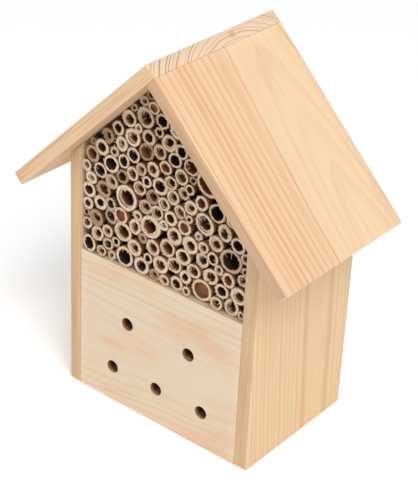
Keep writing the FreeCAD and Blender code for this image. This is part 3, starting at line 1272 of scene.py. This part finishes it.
        yield self._board("roof_right", self.pine_roof, finish,
                          self._slab("roof_right", Way.DOWN_RIGHT, Way.OUT_RIGHT), arris=self.roof_arris,
                          fine_arris=self.ridge_arris, fine_within=self.ridge_reach)

    def _board(self, node: str, slot: str, finish: PineFinish, outline: Outline, **sizes: object) -> Board:
        """A board as deep as its CAD node."""
        low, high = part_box(node)
        return Board(node, slot, finish, outline, low.y, high.y, **sizes)

    def dress_inside(self) -> None:
        """Give the floor and the shelf, which keep their CAD shapes, their pine."""
        for node, seed in (("floor_board", 6.0), ("shelf_board", 8.0)):
            finish = self._finish(node, Way.RIGHT, Way.BACK, Way.UP, pith_across_mm=5.0, pith_out_mm=-25.0,
                                  ring_mm=4.5, seed=seed, contrast=0.6)
            dress(node, finish.material())

    def build(self) -> None:
        """Make every board."""
        for board in self.boards():
            board.build()
        self.dress_inside()


def dress(node: str, material: bpy.types.Material) -> None:
    """Give a CAD node, whose shape is right, a better material in each of its slots.

    Args:
        node: the name of a CAD node.
        material: the material that it gets.
    """
    shown = frame["nodes"][node]
    if not shown.material_slots:
        shown.data.materials.append(material)
    for place in shown.material_slots:
        place.material = material
    LOG.info("%s keeps its CAD shape", node)


# ---------------------------------------------------------------- reeds


@dataclass(frozen=True)
class Stalk:
    """One reed as the CAD has it."""

    x: float
    z: float
    radius: float
    bore: float
    front: float
    rear: float
    bore_end: float

    @classmethod
    def read(cls, rod: Rod) -> "Stalk":
        """Measure one reed of a CAD node.

        Args:
            rod: one solid of a reed node.

        Returns:
            Its measures.
        """
        middle = rod.middle
        radius = (rod.high.x - rod.low.x) / 2.0
        spread = [(math.hypot(co.x - middle.x, co.z - middle.z), co.y) for co in rod.corners]
        bore = min(reach for reach, y in spread if y < rod.low.y + 0.1 * MM)
        bore_end = max(y for reach, y in spread if abs(reach - bore) < 0.1 * MM)
        return cls(middle.x, middle.z, radius, bore, rod.low.y, rod.high.y, bore_end)


@dataclass
class ReedMaker:
    """Cuts reeds: oval stalks with sawn ends, torn pith and dark bores."""

    SKIN = 0
    CUT = 1
    BORE = 2
    PITH = 3

    draft: Draft
    draw: random.Random
    room: tuple[Vector, Vector]
    sides: int = 40
    depths_mm: tuple[float, ...] = (0.35, 1.1, 2.4, 4.2, 7.0, 11.0, 17.0, 26.0, 40.0)
    green_share: float = 0.07
    green_tint: float = 0.55
    # The share of old reeds with dark cut ends, and the extra share of painted shade on the cut ends of reeds
    # that the left roof board and wall shade.
    aged_share: float = 0.10
    sheltered_aged_share: float = 0.5
    notched_share: float = 0.06
    loose_share: float = 0.5
    splintered_share: float = 0.25
    most_oval: float = 0.07
    most_saw_slope_deg: float = 4.5
    lump: float = 0.03
    rib: float = 0.008
    ribs: float = 17.0
    rim_round: float = 0.22 * MM
    partition: float = 1.0 * MM
    hair_thick: float = 0.06 * MM
    skin_shares: tuple[float, ...] = (0.6, 0.3, 0.15, 0.06, 0.02)
    notch_mm: tuple[float, float] = (1.0, 3.0)
    plug_depth_mm: tuple[float, float] = (1.6, 7.0)
    ragged_fibres: tuple[int, int] = (9, 20)
    loose_fibres: tuple[int, int] = (2, 6)
    fibre_width_mm: tuple[float, float] = (0.25, 0.65)
    splinters: tuple[int, int] = (2, 6)
    splinter_width_mm: tuple[float, float] = (0.25, 0.55)
    splinter_length_mm: tuple[float, float] = (0.5, 1.5)
    fuzz_hairs: tuple[int, int] = (60, 120)
    fuzz_width_mm: tuple[float, float] = (0.2, 0.55)
    fuzz_length_mm: tuple[float, float, float] = (0.4, 1.9, 0.8)

    def cut(self, stalk: Stalk, bore: Bore) -> None:
        """Add one reed to the draft.

        Args:
            stalk: its measures.
            bore: what shows inside.
        """
        draw = self.draw
        self.stalk = stalk
        self.tone = draw.random()
        self.green = self.green_tint if draw.random() < self.green_share else 0.0
        # Painted shade from the left roof board and wall, used on the skin and the cut ends.
        self.shelter_shade = self._shelter()
        # More dark cut ends where the reed is shaded: painted shade.
        aged_share = self.aged_share + self.sheltered_aged_share * self.shelter_shade
        self.aged = draw.uniform(0.3, 1.0) if draw.random() < aged_share else 0.0
        # Clean bores get most of the black bore colour, the others little of it.
        self.sooty = draw.uniform(0.75, 1.0) if bore is Bore.CLEAN else draw.uniform(0.0, 0.45)
        self.oval = draw.uniform(0.0, self.most_oval)
        self.oval_turn = draw.uniform(0.0, math.pi)
        self.saw_slope = math.tan(math.radians(draw.uniform(0.0, self.most_saw_slope_deg)))
        self.saw_turn = draw.uniform(0.0, math.tau)
        self.notch = draw.uniform(*self.notch_mm) * MM if draw.random() < self.notched_share else 0.0
        self.notch_turn = draw.uniform(0.0, math.tau)
        self.notch_width = draw.uniform(0.25, 0.6)
        self.roll = draw.uniform(0.0, 100.0)
        outer = self._skin()
        inner = self._sawn_end(outer)
        self._bore(inner, bore)
        if bore is Bore.RAGGED:
            self._torn_lining(draw.uniform(0.05, 0.24), draw.uniform(0.15, 1.2))
            self._fibres(draw.randint(*self.ragged_fibres))
        elif draw.random() < self.loose_share:
            self._fibres(draw.randint(*self.loose_fibres))
        if draw.random() < self.splintered_share:
            self._splinters(draw.randint(*self.splinters))
        self._fuzz(draw.randint(*self.fuzz_hairs))

    def _shelter(self) -> float:
        """How much the left roof board and wall shade this reed, from 0 to 1.

        Returns:
            The share of light that it loses, before its finish weighs it.
        """
        low, high = self.room
        left = (high.x - self.stalk.x) / (high.x - low.x)
        up = (self.stalk.z - low.z) / (high.z - low.z)
        return min(1.0, max(0.0, 1.6 * (left - 0.45) + 0.5 * up * left))

    def _turns(self) -> Iterator[float]:
        """The angles of one ring's corners."""
        return (math.tau * place / self.sides for place in range(self.sides))

    def _wave(self, turn: float, swings: float, shift: float) -> float:
        """Smooth noise round this stalk, with more swings for a larger number."""
        return noise.noise(Vector((math.cos(turn) * swings, math.sin(turn) * swings, self.roll + shift)))

    def _shape(self, turn: float) -> float:
        """How far the stalk reaches at an angle, as a share of its radius.

        Args:
            turn: the angle.

        Returns:
            A share of up to 1.
        """
        flat = self.oval * (0.5 + 0.5 * math.cos(2.0 * (turn - self.oval_turn)))
        lump = 0.5 + 0.5 * self._wave(turn, 1.3, 0.0)
        rib = 0.5 + 0.5 * math.cos(turn * self.ribs + self.roll)
        return 1.0 - flat - self.lump * lump - self.rib * rib

    def _end(self, turn: float) -> float:
        """How far the sawn end lies behind the reed's foremost point.

        Args:
            turn: the angle.

        Returns:
            The distance.
        """
        slope = self.saw_slope * self.stalk.radius * (1.0 + math.cos(turn - self.saw_turn))
        away = abs((turn - self.notch_turn + math.pi) % math.tau - math.pi)
        broken = self.notch * min(1.0, max(0.0, (self.notch_width - away) / 0.25))
        return slope + broken

    def _point(self, turn: float, reach: float, y: float) -> tuple[float, float, float]:
        """A point of this stalk."""
        return self.stalk.x + math.cos(turn) * reach, y, self.stalk.z + math.sin(turn) * reach

    @staticmethod
    def _ways(turn: float) -> tuple[Vector, Vector]:
        """The directions outwards and round the stalk at an angle."""
        return Vector((math.cos(turn), 0.0, math.sin(turn))), Vector((-math.sin(turn), 0.0, math.cos(turn)))

    def _ring(self, reach: Reach, y: Reach, **values: float) -> list[int]:
        """One ring of corners.

        Args:
            reach: the ring's reach at an angle.
            y: the ring's y at an angle.
            values: what else is painted on its corners, by name.

        Returns:
            The corners' numbers.
        """
        values = {"tone": self.tone, "green": self.green, "sooty": self.sooty,
                  "aged": self.aged, "shelter_shade": self.shelter_shade, **values}
        return [self.draft.corner(self._point(turn, reach(turn), y(turn)), **values)
                for turn in self._turns()]

    def _skin(self) -> list[int]:
        """The outside, from the closed rear end to the rim.

        Returns:
            The rim's ring.
        """
        stalk = self.stalk
        length = stalk.rear - stalk.front
        rear_ring = self._ring(lambda turn: stalk.radius * self._shape(turn), lambda turn: stalk.rear,
                               deep=length / MM)
        middle = self.draft.corner((stalk.x, stalk.rear, stalk.z), tone=self.tone)
        self.draft.cap(rear_ring, middle, self.CUT)
        before = rear_ring
        for share in self.skin_shares:
            ring = self._ring(lambda turn: stalk.radius * self._shape(turn),
                              lambda turn, share=share: stalk.front + length * share + self._end(turn),
                              deep=length * share / MM)
            self.draft.band(ring, before, self.SKIN)
            before = ring
        edge = self._ring(lambda turn: stalk.radius * self._shape(turn),
                          lambda turn: stalk.front + self._end(turn) + self.rim_round)
        self.draft.band(edge, before, self.SKIN)
        return edge

    def _sawn_end(self, outer: list[int]) -> list[int]:
        """The sawn end, from the rim to the bore.

        Args:
            outer: the rim's ring.

        Returns:
            The ring at the bore's mouth.
        """
        stalk, draw = self.stalk, self.draw
        wall = stalk.radius - stalk.bore
        before = outer
        for share, rim, fray in ((0.05, 1.0, 0.22), (0.30, 0.0, 0.0), (0.65, 0.0, 0.0), (1.0, 0.0, 0.5)):
            ring = self._ring(
                lambda turn, share=share, fray=fray: stalk.radius * self._shape(turn)
                - wall * share * self._uneven(turn) - draw.random() ** 2.0 * fray * MM,
                lambda turn: stalk.front + self._end(turn) + draw.uniform(0.0, 0.25) * MM,
                rim=rim)
            self.draft.band(ring, before, self.CUT)
            before = ring
        return before

    def _uneven(self, turn: float) -> float:
        """The wall's thickness at an angle, as a share of the usual one."""
        return 1.0 + 0.35 * self._wave(turn, 0.8, 31.0)

    def _bore_reach(self, turn: float, depth: float) -> float:
        """The bore's reach at an angle and a depth.

        Args:
            turn: the angle.
            depth: the depth behind the sawn end, in millimetres.

        Returns:
            The distance from the stalk's middle.
        """
        stalk = self.stalk
        wall = (stalk.radius - stalk.bore) * self._uneven(turn)
        ripple = 0.04 * self._wave(turn, 2.0, depth * 0.25)
        return (stalk.radius * self._shape(turn) - wall) * (1.0 + ripple)

    def _bore(self, mouth: list[int], bore: Bore) -> None:
        """The bore and the partition that closes it.

        Args:
            mouth: the ring at the bore's mouth.
            bore: what shows inside.
        """
        stalk, draw = self.stalk, self.draw
        length_mm = (stalk.bore_end - stalk.front) / MM
        stop = draw.uniform(*self.plug_depth_mm) if bore is Bore.PLUGGED else length_mm
        before = mouth
        for depth in (*(value for value in self.depths_mm if value < stop - 0.5), stop):
            last = depth == stop
            plug = 0.35 if last and bore is Bore.PLUGGED else 0.0
            ring = self._ring(lambda turn, depth=depth: self._bore_reach(turn, depth),
                              lambda turn, depth=depth: self._inside(turn, depth), deep=depth, plug=plug)
            self.draft.band(ring, before, self.BORE)
            before = ring
        plug = 1.0 if bore is Bore.PLUGGED else 0.0
        last_y = stalk.bore_end + self.partition
        for share, sink in ((0.6, 0.5), (0.25, 0.8)):
            ring = self._ring(lambda turn, share=share: self._bore_reach(turn, stop) * share,
                              lambda turn, sink=sink: min(last_y, self._inside(turn, stop + sink)),
                              deep=stop, plug=plug * draw.uniform(0.6, 1.0))
            self.draft.band(ring, before, self.BORE)
            before = ring
        y = min(last_y, stalk.front + (stop + 1.0) * MM)
        middle = self.draft.corner((stalk.x, y, stalk.z), deep=stop, plug=plug, tone=self.tone,
                                   sooty=self.sooty)
        self.draft.cap(before, middle, self.BORE)

    def _inside(self, turn: float, depth_mm: float) -> float:
        """The y of a bore ring, which follows the sawn end near the mouth."""
        follow = math.exp(-depth_mm / 5.0)
        return self.stalk.front + depth_mm * MM + self._end(turn) * follow

    def _torn_lining(self, share: float, depth_mm: float) -> None:
        """A torn inner lining: a thin ring whose inner edge is ragged, thicker on one side.

        Args:
            share: how thick it is, as a share of the bore's reach.
            depth_mm: how deep it sits.
        """
        draw = self.draw
        lean = draw.uniform(0.0, math.tau)
        tone = draw.uniform(0.4, 1.0)
        teeth = [self._tooth(turn, draw.random()) for turn in self._turns()]
        rings = []
        for face, sink in ((0, 0.0), (1, draw.uniform(0.5, 1.6))):
            outer, inner = [], []
            for tooth, turn in zip(teeth, self._turns()):
                wide = max(0.04, share * (0.4 + 0.6 * math.cos(turn - lean)) + tooth * (0.08 + 0.6 * share))
                reach = self._bore_reach(turn, depth_mm)
                y = self._inside(turn, depth_mm + sink)
                outer.append(self.draft.corner(self._point(turn, reach * 1.02, y), tone=tone))
                lift = draw.uniform(-0.25, 0.25) * MM
                inner.append(self.draft.corner(
                    self._point(turn, reach * (1.0 - min(0.8, wide) * (1.0 - 0.35 * face)), y + lift),
                    tone=tone))
            rings.append((outer, inner))
        (front_outer, front_inner), (rear_outer, rear_inner) = rings
        self.draft.band(front_outer, front_inner, self.PITH)
        self.draft.band(front_inner, rear_inner, self.PITH)
        self.draft.band(rear_inner, rear_outer, self.PITH)
        self.draft.band(rear_outer, front_outer, self.PITH)

    def _tooth(self, turn: float, chance: float) -> float:
        """How far the torn lining stands in at an angle, from 0 to about 1."""
        return 0.5 + 0.8 * self._wave(turn, 2.4, 60.0) + 0.5 * chance * chance

    def _strip(self, start: Vector, run: Vector, side: Vector, width: float, bend: Vector) -> None:
        """A thin pointed strip of fibre from start along run.

        Args:
            start: the middle of its root.
            run: from its root to its tip.
            side: the direction of its width.
            width: its width at the root.
            bend: how far its tip bends away.
        """
        thick = side.cross(run).normalized() * self.hair_thick
        rows = []
        for share in (0.0, 0.4, 0.75):
            middle = start + run * share + bend * share * share
            half = side * (width * (1.0 - share) ** 0.7 / 2.0)
            rows.append([self.draft.corner(place, tone=self.tone, aged=self.aged)
                         for place in (middle - half - thick, middle + half - thick,
                                       middle + half + thick, middle - half + thick)])
        for first, second in zip(rows, rows[1:]):
            self.draft.band(first, second, self.PITH)
        tip = self.draft.corner(start + run + bend, tone=self.tone, aged=self.aged)
        self.draft.cap(rows[-1], tip, self.PITH)
        self.draft.face(rows[0][::-1], self.PITH)

    def _fibres(self, count: int) -> None:
        """Loose fibres that hang into the bore, most of them from its upper side.

        Args:
            count: how many.
        """
        draw, stalk = self.draw, self.stalk
        for _ in range(count):
            turn = draw.gauss(math.pi * 0.62, 0.95)
            depth = draw.uniform(0.1, 2.2)
            reach = self._bore_reach(turn, depth) * 1.01
            start = Vector(self._point(turn, reach, self._inside(turn, depth)))
            outward, side = self._ways(turn)
            length = stalk.bore * draw.uniform(0.18, 0.7)
            run = (side * draw.uniform(-0.5, 0.5) - outward
                   + Vector((0.0, draw.uniform(-0.3, 0.5), 0.0))) * length
            bend = Vector((draw.uniform(-0.1, 0.1), draw.uniform(-0.1, 0.2),
                           draw.uniform(-0.35, 0.0))) * length
            self._strip(start, run, side, draw.uniform(*self.fibre_width_mm) * MM, bend)

    def _splinters(self, count: int) -> None:
        """Splinters that the saw left standing at the rim.

        Args:
            count: how many.
        """
        draw, stalk = self.draw, self.stalk
        middle = draw.uniform(0.0, math.tau)
        for _ in range(count):
            turn = draw.gauss(middle, 0.35)
            reach = stalk.radius * self._shape(turn) - draw.uniform(0.1, 0.5) * MM
            start = Vector(self._point(turn, reach, stalk.front + self._end(turn) + 0.3 * MM))
            outward, side = self._ways(turn)
            length = draw.uniform(*self.splinter_length_mm) * MM
            run = (outward * draw.uniform(-0.3, 0.35) + Vector((0.0, -0.55, 0.0))
                   + side * draw.uniform(-0.4, 0.4)) * length
            width = draw.uniform(*self.splinter_width_mm) * MM
            self._strip(start, run, side, width, outward * (0.2 * length))

    def _fuzz(self, count: int) -> None:
        """Short hairs that the saw raised round the rim.

        Args:
            count: how many.
        """
        draw, stalk = self.draw, self.stalk
        wall = stalk.radius - stalk.bore
        for _ in range(count):
            turn = draw.uniform(0.0, math.tau)
            reach = stalk.radius * self._shape(turn) - wall * draw.choice((0.1, 0.9))
            start = Vector(self._point(turn, reach, stalk.front + self._end(turn) + 0.15 * MM))
            outward, side = self._ways(turn)
            length = draw.triangular(*self.fuzz_length_mm) * MM
            way = 1.0 if reach > stalk.bore + wall * 0.5 else -1.0
            run = (outward * (way * draw.uniform(0.2, 1.0)) + side * draw.uniform(-0.8, 0.8)
                   + Vector((0.0, draw.uniform(-0.6, 0.1), 0.0))) * length
            bend = (side * draw.uniform(-0.6, 0.6) + outward * (way * draw.uniform(-0.5, 0.2))) * length
            self._strip(start, run, side, draw.uniform(*self.fuzz_width_mm) * MM, bend)


@dataclass
class ReedStack:
    """Every reed behind the opening, in its bundle."""

    seed: int = 5
    clean_share: float = 0.36
    plugged_share: float = 0.14
    small_sides: int = 40
    large_sides: int = 56
    large_bores: tuple[Bore, ...] = (Bore.CLEAN, Bore.PLUGGED, Bore.RAGGED, Bore.CLEAN, Bore.RAGGED,
                                     Bore.RAGGED, Bore.RAGGED, Bore.PLUGGED, Bore.RAGGED)

    def _pick(self, draw: random.Random) -> Bore:
        """What a small reed shows inside.

        Args:
            draw: the source of chance.

        Returns:
            What it shows.
        """
        value = draw.random()
        if value < self.clean_share:
            return Bore.CLEAN
        return Bore.PLUGGED if value < self.clean_share + self.plugged_share else Bore.RAGGED

    def build(self) -> None:
        """Make every bundle and every large reed."""
        finishes = (ReedSkinFinish(), ReedCutFinish(), ReedBoreFinish(), PithFinish())
        materials = [finish.material() for finish in finishes]
        draw = random.Random(self.seed)
        low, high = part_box("shelf_board")
        room = (Vector((low.x, low.y, high.z)), Vector((high.x, high.y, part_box("back_panel")[1].z)))
        for node in sorted(frame["nodes"]):
            large = node.startswith("large_reed")
            if not large and not node.startswith("reed_bundle"):
                continue
            maker = ReedMaker(Draft(), draw, room, sides=self.large_sides if large else self.small_sides)
            for rod in rods(node):
                bore = self.large_bores[int(node[-2:]) - 1] if large else self._pick(draw)
                maker.cut(Stalk.read(rod), bore)
            piece = maker.draft.build(node + "_cut", materials)
            show(piece, "large_reed" if large else "reed", node)


# ---------------------------------------------------------------- metalwork


@dataclass
class Metalwork:
    """The keyhole plate, its screws and the ridge nails."""

    sides: int = 32
    screw_head: float = 2.6 * MM
    screw_shank: float = 1.25 * MM
    screw_head_thick: float = 0.8 * MM
    screw_tip: float = 0.2 * MM
    point_length: float = 1.2 * MM
    threads: int = 5
    first_thread: float = 1.4 * MM
    thread_pitch: float = 1.0 * MM
    thread_root: float = 0.82
    cross_long: float = 2.6 * MM
    cross_wide: float = 0.55 * MM
    cross_deep: float = 0.9 * MM
    nail_shank_share: float = 0.53

    def build(self) -> None:
        """Dress the plate, and make the heads of the screws and the nails."""
        zinc = MetalFinish("zinc_plate", (0.68, 0.69, 0.71), (0.52, 0.53, 0.56), 0.32).material()
        bright = MetalFinish("bright_steel", (0.52, 0.48, 0.42), (0.36, 0.33, 0.29), 0.28).material()
        dress("hanger_plate", zinc)
        self._screws(bright)
        self._nails(bright)

    def _lathe(self, draft: Draft, base: Vector, axis: Vector,
               profile: Sequence[tuple[float, float]]) -> None:
        """A turned solid.

        Args:
            draft: the mesh that it is added to.
            base: the point where the axis starts.
            axis: a unit vector.
            profile: (distance along axis, radius) pairs from end to end.
        """
        side = axis.orthogonal().normalized()
        other = axis.cross(side)
        turns = [math.tau * place / self.sides for place in range(self.sides)]
        rings = []
        for along, radius in profile:
            middle = base + axis * along
            rings.append([draft.corner(middle + side * (math.cos(turn) * radius)
                                       + other * (math.sin(turn) * radius)) for turn in turns])
        for first, second in zip(rings, rings[1:]):
            draft.band(first, second, 0)
        draft.cap(rings[0][::-1], draft.corner(base + axis * profile[0][0]), 0)
        draft.cap(rings[-1], draft.corner(base + axis * profile[-1][0]), 0)

    def _screws(self, material: bpy.types.Material) -> None:
        """Pan-head screws with a cross recess.

        Args:
            material: their finish.
        """
        draft = Draft()
        head, shank, thick = self.screw_head, self.screw_shank, self.screw_head_thick
        for rod in rods("hanger_screws"):
            base = Vector((rod.middle.x, rod.low.y, rod.middle.z))
            length = rod.high.y - rod.low.y
            profile = [(0.0, self.screw_tip), (self.point_length, shank)]
            for thread in range(self.threads):
                start = self.first_thread + thread * self.thread_pitch
                profile += [(start, shank * self.thread_root), (start + self.thread_pitch / 2.0, shank)]
            profile += [(length - thick, shank), (length - thick, head * 0.98), (length - thick * 0.55, head),
                        (length - thick * 0.2, head * 0.86), (length - 0.05 * MM, head * 0.62),
                        (length, head * 0.3)]
            self._lathe(draft, base, Vector((0.0, 1.0, 0.0)), profile)
        piece = draft.build("hanger_screws_turned", [material])
        self._cross(piece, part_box("hanger_screws")[1].y)
        show(piece, "steel", "hanger_screws")

    def _cross(self, piece: bpy.types.Object, top: float) -> None:
        """Cut a cross recess in each screw's head.

        Args:
            piece: the screws.
            top: the y of the heads' outer faces.
        """
        work = bmesh.new()
        for rod in rods("hanger_screws"):
            for x, z in ((self.cross_long, self.cross_wide), (self.cross_wide, self.cross_long)):
                place = Matrix.Translation((rod.middle.x, top, rod.middle.z))
                size = Matrix.Diagonal((x, self.cross_deep, z, 1.0))
                bmesh.ops.create_cube(work, size=1.0, matrix=place @ size)
        cut_away(piece, work, self_overlaps=True)

    def _nails(self, material: bpy.types.Material) -> None:
        """Round nails with slightly sunk, domed heads.

        Args:
            material: their finish.
        """
        draft = Draft()
        inward = -Vector(Way.OUT_LEFT.value)
        for rod in rods("ridge_nails"):
            reach = [co.dot(inward) for co in rod.corners]
            offsets = [co - rod.middle for co in rod.corners]
            head = max((offset - inward * offset.dot(inward)).length for offset in offsets)
            shank = head * self.nail_shank_share
            length = max(reach) - min(reach)
            axis_point = rod.middle - inward * (rod.middle.dot(inward) - min(reach))
            profile = [(0.02 * MM, head * 0.35), (0.06 * MM, head * 0.75), (0.16 * MM, head * 0.95),
                       (0.7 * MM, head), (0.8 * MM, shank), (length - 2.0 * MM, shank), (length, 0.1 * MM)]
            self._lathe(draft, axis_point, inward, profile)
        piece = draft.build("ridge_nails_drawn", [material])
        show(piece, "steel", "ridge_nails")


# ---------------------------------------------------------------- stage


@dataclass
class Stage:
    """Floor, lights and camera."""

    floor_reach: float = 6.0
    floor_drop: float = 0.2 * MM
    key_place: Axis = (1.8, -1.3, 2.6)
    key_size: float = 1.6
    key_watts: float = 68.0
    fill_place: Axis = (-0.9, -1.3, 0.7)
    fill_size: float = 1.4
    fill_watts: float = 1.0
    sky_strength: float = 0.62
    view_reach: float = 10.0
    camera_place: Vector = field(default_factory=lambda: Vector((0.5033, -0.6443, 0.5932)))
    camera_aim: Axis = (-0.5290, 0.6838, -0.5026)
    camera_roll_deg: float = 2.86
    lens_mm: float = 112.96

    def build(self) -> None:
        """Set up everything round the house."""
        self._floor()
        self._lights()
        self._camera()

    def _floor(self) -> None:
        """A pale floor."""
        reach = self.floor_reach
        draft = Draft()
        corners = [draft.corner((x, y, -self.floor_drop)) for x, y in
                   ((-reach, -reach), (reach, -reach), (reach, reach), (-reach, reach))]
        draft.face(corners, 0)
        draft.build("floor", [FloorFinish().material()], closed=False)

    def _light(self, name: str, place: Axis, size: float, watts: float) -> None:
        """A soft square light that faces the house.

        Args:
            name: the light's name.
            place: where it hangs.
            size: the length of its sides.
            watts: its strength.
        """
        lamp = bpy.data.lights.new(name, "AREA")
        lamp.size = size
        lamp.energy = watts
        lamp.color = WHITE
        made = put(name, lamp)
        target = Vector((0.0, 0.0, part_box("front_panel")[1].z))
        made.location = place
        made.rotation_euler = (target - Vector(place)).to_track_quat("-Z", "Y").to_euler()

    def _lights(self) -> None:
        """A key from the upper right, a fill from the left, and an even pale sky."""
        self._light("key", self.key_place, self.key_size, self.key_watts)
        self._light("fill", self.fill_place, self.fill_size, self.fill_watts)
        world = bpy.data.worlds.new("sky")
        world.use_nodes = True
        background = world.node_tree.nodes["Background"]
        background.inputs[0].default_value = (*WHITE, 1.0)
        background.inputs[1].default_value = self.sky_strength
        bpy.context.scene.world = world
        bpy.context.scene.view_settings.view_transform = "Standard"

    def _camera(self) -> None:
        """The camera, a little to the right of the house and above it."""
        lens = bpy.data.cameras.new("camera")
        lens.lens = self.lens_mm
        lens.clip_end = self.view_reach
        made = put("camera", lens)
        turn = Vector(self.camera_aim).to_track_quat("-Z", "Y").to_matrix()
        roll = Matrix.Rotation(math.radians(self.camera_roll_deg), 3, "Z")
        made.matrix_world = Matrix.Translation(self.camera_place) @ (turn @ roll).to_4x4()
        bpy.context.scene.camera = made


def main() -> None:
    """Build the looks of the whole house."""
    logging.basicConfig(level=logging.INFO, format="%(name)s: %(message)s")
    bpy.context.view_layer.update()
    Stage().build()
    Carcass().build()
    beech = DowelFinish().material()
    for node in sorted(frame["nodes"]):
        if node.endswith("_dowels"):
            dress(node, beech)
    ReedStack().build()
    Metalwork().build()


if __name__ == "__main__":
    main()
